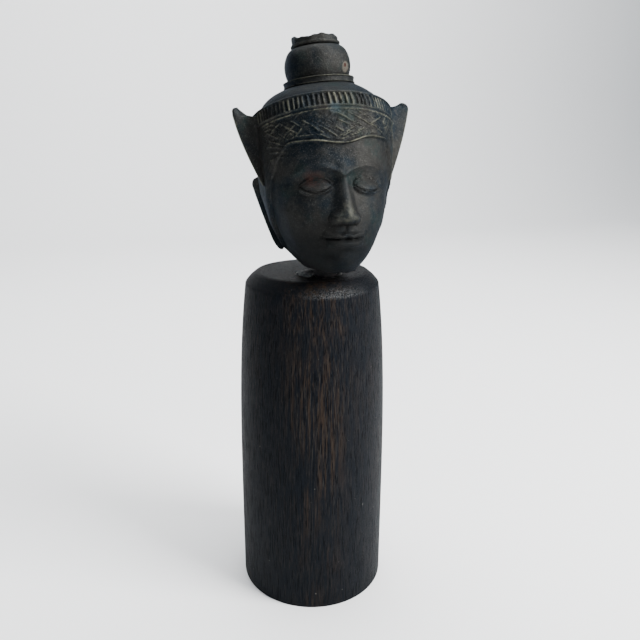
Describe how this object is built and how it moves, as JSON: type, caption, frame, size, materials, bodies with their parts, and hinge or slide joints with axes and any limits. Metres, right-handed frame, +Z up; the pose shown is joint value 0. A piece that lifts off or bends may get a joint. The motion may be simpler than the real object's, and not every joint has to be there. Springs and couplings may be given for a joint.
{
  "type": "crowned buddha head on a wood stand",
  "caption": "Crowned bronze head of a buddha with side wings, ribbed diadem and broken knob, held by a short peg over a turned dark wood cylinder stand.",
  "frame": {"origin": "centre of the stand's round underside", "axes": "+Z up the stand's turned axis, the face looks toward -Y, the figure's left is toward +X"},
  "size_m": [0.0842, 0.0862, 0.2796],
  "materials": {
    "bronze": "aged, dark olive patina with worn lines",
    "peg": "dark, dull",
    "filler": "pale, rough",
    "wood": "dark brown-black, satin, open pores"
  },
  "bodies": {
    "root": {"bronze_head": "bronze", "mount_peg": "peg", "filler_bed": "filler", "wood_stand": "wood"}
  },
  "joints": []
}
